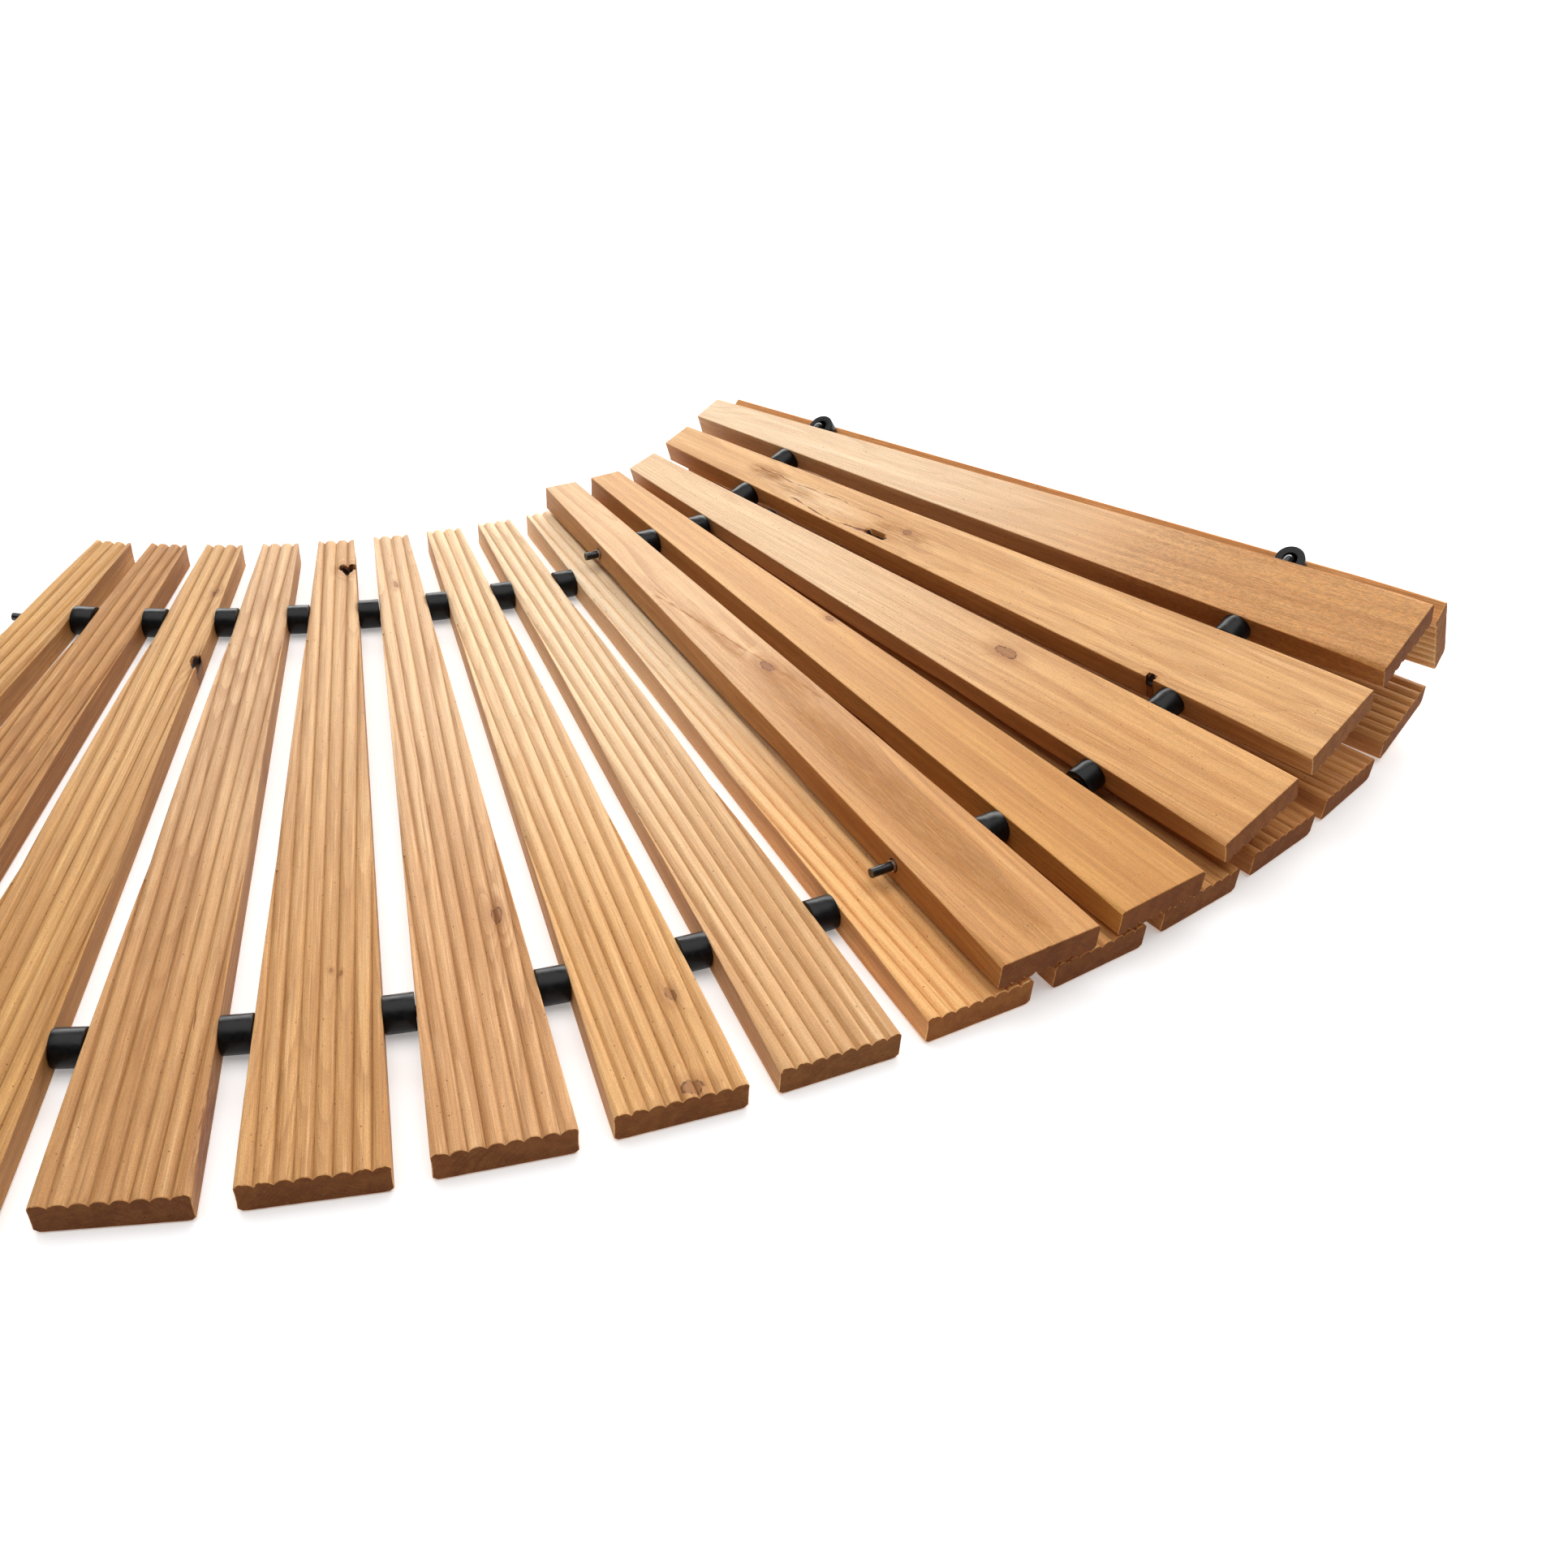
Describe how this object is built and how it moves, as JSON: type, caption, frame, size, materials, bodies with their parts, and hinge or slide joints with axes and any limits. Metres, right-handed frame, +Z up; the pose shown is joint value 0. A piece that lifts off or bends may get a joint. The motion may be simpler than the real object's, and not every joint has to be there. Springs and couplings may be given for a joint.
{
  "type": "slatted wooden roll-out bath mat",
  "caption": "Curved roll-out wooden duckboard mat of tapered slats strung on cords with tube spacers, its end folded back over the rest.",
  "frame": {"origin": "on the floor under the middle of the mat's outline, as it lies with its last slats folded back", "axes": "+Z up; +X along the first slat's way of travel, from the plain end towards the fold; +Y from the wide outer end of the first slat to its narrow inner end"},
  "size_m": [0.929, 0.8182, 0.1087],
  "materials": {
    "slats": "unfinished sawn softwood, satin",
    "spacers": "satin black",
    "cords": "smooth black sheath"
  },
  "bodies": {
    "slat_01_body": {"slat_01": "slats", "spacer_outer_01": "spacers", "spacer_inner_01": "spacers"},
    "slat_02_body": {"slat_02": "slats", "spacer_outer_02": "spacers", "spacer_inner_02": "spacers"},
    "slat_03_body": {"slat_03": "slats", "spacer_outer_03": "spacers", "spacer_inner_03": "spacers"},
    "slat_04_body": {"slat_04": "slats", "spacer_outer_04": "spacers", "spacer_inner_04": "spacers"},
    "slat_05_body": {"slat_05": "slats", "spacer_outer_05": "spacers", "spacer_inner_05": "spacers"},
    "slat_06_body": {"slat_06": "slats", "spacer_outer_06": "spacers", "spacer_inner_06": "spacers"},
    "slat_07_body": {"slat_07": "slats", "spacer_outer_07": "spacers", "spacer_inner_07": "spacers"},
    "slat_08_body": {"slat_08": "slats", "spacer_outer_08": "spacers", "spacer_inner_08": "spacers"},
    "slat_09_body": {"slat_09": "slats", "spacer_outer_09": "spacers", "spacer_inner_09": "spacers"},
    "slat_10_body": {"slat_10": "slats", "spacer_outer_10": "spacers", "spacer_inner_10": "spacers", "cord_inner": "cords", "cord_outer": "cords"},
    "slat_11_body": {"slat_11": "slats", "spacer_outer_11": "spacers", "spacer_inner_11": "spacers"},
    "slat_12_body": {"slat_12": "slats", "spacer_outer_12": "spacers", "spacer_inner_12": "spacers"},
    "slat_13_body": {"slat_13": "slats", "spacer_outer_13": "spacers", "spacer_inner_13": "spacers"},
    "slat_14_body": {"slat_14": "slats", "spacer_outer_14": "spacers", "spacer_inner_14": "spacers"},
    "slat_15_body": {"slat_15": "slats", "spacer_outer_15": "spacers", "spacer_inner_15": "spacers"},
    "slat_16_body": {"slat_16": "slats", "spacer_outer_16": "spacers", "spacer_inner_16": "spacers"},
    "slat_17_body": {"slat_17": "slats", "spacer_outer_17": "spacers", "spacer_inner_17": "spacers"},
    "slat_18_body": {"slat_18": "slats", "spacer_outer_18": "spacers"},
    "slat_19_body": {"slat_19": "slats", "spacer_outer_19": "spacers", "spacer_inner_19": "spacers", "spacer_inner_18": "spacers"},
    "slat_20_body": {"slat_20": "slats"}
  },
  "joints": [
    {"name": "bend_01", "type": "hinge", "parent": "slat_01_body", "child": "slat_02_body", "pos_m": [-0.39333, -0.12705, 0.00825], "axis": [0.0371, -0.9993, 0], "range_deg": [-10, 10]},
    {"name": "bend_02", "type": "hinge", "parent": "slat_02_body", "child": "slat_03_body", "pos_m": [-0.33576, -0.12071, 0.00825], "axis": [0.111, -0.9938, 0], "range_deg": [-10, 10]},
    {"name": "bend_03", "type": "hinge", "parent": "slat_03_body", "child": "slat_04_body", "pos_m": [-0.27882, -0.11013, 0.00825], "axis": [0.1844, -0.9829, 0], "range_deg": [-10, 10]},
    {"name": "bend_04", "type": "hinge", "parent": "slat_04_body", "child": "slat_05_body", "pos_m": [-0.22283, -0.09535, 0.00825], "axis": [0.2567, -0.9665, 0], "range_deg": [-10, 10]},
    {"name": "bend_05", "type": "hinge", "parent": "slat_05_body", "child": "slat_06_body", "pos_m": [-0.16808, -0.07647, 0.00825], "axis": [0.3276, -0.9448, 0], "range_deg": [-10, 10]},
    {"name": "bend_06", "type": "hinge", "parent": "slat_06_body", "child": "slat_07_body", "pos_m": [-0.11488, -0.05358, 0.00825], "axis": [0.3967, -0.9179, 0], "range_deg": [-10, 10]},
    {"name": "bend_07", "type": "hinge", "parent": "slat_07_body", "child": "slat_08_body", "pos_m": [-0.06353, -0.02681, 0.00825], "axis": [0.4637, -0.886, 0], "range_deg": [-10, 10]},
    {"name": "bend_08", "type": "hinge", "parent": "slat_08_body", "child": "slat_09_body", "pos_m": [-0.0143, 0.00369, 0.00825], "axis": [0.5281, -0.8492, 0], "range_deg": [-10, 10]},
    {"name": "bend_09", "type": "hinge", "parent": "slat_09_body", "child": "slat_10_body", "pos_m": [0.03254, 0.03776, 0.00825], "axis": [0.5895, -0.8077, 0], "range_deg": [-3, 0]},
    {"name": "bend_10", "type": "hinge", "parent": "slat_10_body", "child": "slat_11_body", "pos_m": [0.07672, 0.0752, 0.00825], "axis": [0.6478, -0.7618, 0], "range_deg": [-3, 0], "deforming": ["cord_inner", "cord_outer"]},
    {"name": "bend_11", "type": "hinge", "parent": "slat_11_body", "child": "slat_12_body", "pos_m": [0.118, 0.11581, 0.00825], "axis": [0.7025, -0.7117, 0], "range_deg": [-10, 0]},
    {"name": "bend_12", "type": "hinge", "parent": "slat_12_body", "child": "slat_13_body", "pos_m": [0.15616, 0.15938, 0.00825], "axis": [0.7533, -0.6577, 0], "range_deg": [-10, 0]},
    {"name": "bend_13", "type": "hinge", "parent": "slat_13_body", "child": "slat_14_body", "pos_m": [0.19169, 0.207, 0.00825], "axis": [0.7999, -0.6001, 0], "range_deg": [-23, 0]},
    {"name": "bend_14", "type": "hinge", "parent": "slat_14_body", "child": "slat_15_body", "pos_m": [0.22959, 0.26422, 0.02407], "axis": [0.8474, -0.5306, 0.0194], "range_deg": [-114, 0]},
    {"name": "bend_15", "type": "hinge", "parent": "slat_15_body", "child": "slat_16_body", "pos_m": [0.2035, 0.2289, 0.08221], "axis": [0.8184, -0.5687, 0.0827], "range_deg": [-71, 0]},
    {"name": "bend_16", "type": "hinge", "parent": "slat_16_body", "child": "slat_17_body", "pos_m": [0.17026, 0.18022, 0.06292], "axis": [0.7775, -0.626, 0.0596], "range_deg": [-10, 0]},
    {"name": "bend_17", "type": "hinge", "parent": "slat_17_body", "child": "slat_18_body", "pos_m": [0.13642, 0.13648, 0.04458], "axis": [0.7323, -0.68, 0.0361], "range_deg": [-8, 0]},
    {"name": "bend_18", "type": "hinge", "parent": "slat_18_body", "child": "slat_19_body", "pos_m": [0.09829, 0.09407, 0.02763], "axis": [0.6789, -0.7341, 0.0133], "range_deg": [-5, 0]},
    {"name": "bend_19", "type": "hinge", "parent": "slat_19_body", "child": "slat_20_body", "pos_m": [0.05472, 0.05404, 0.02715], "axis": [0.6227, -0.7825, 0], "range_deg": [-10, 0]}
  ]
}
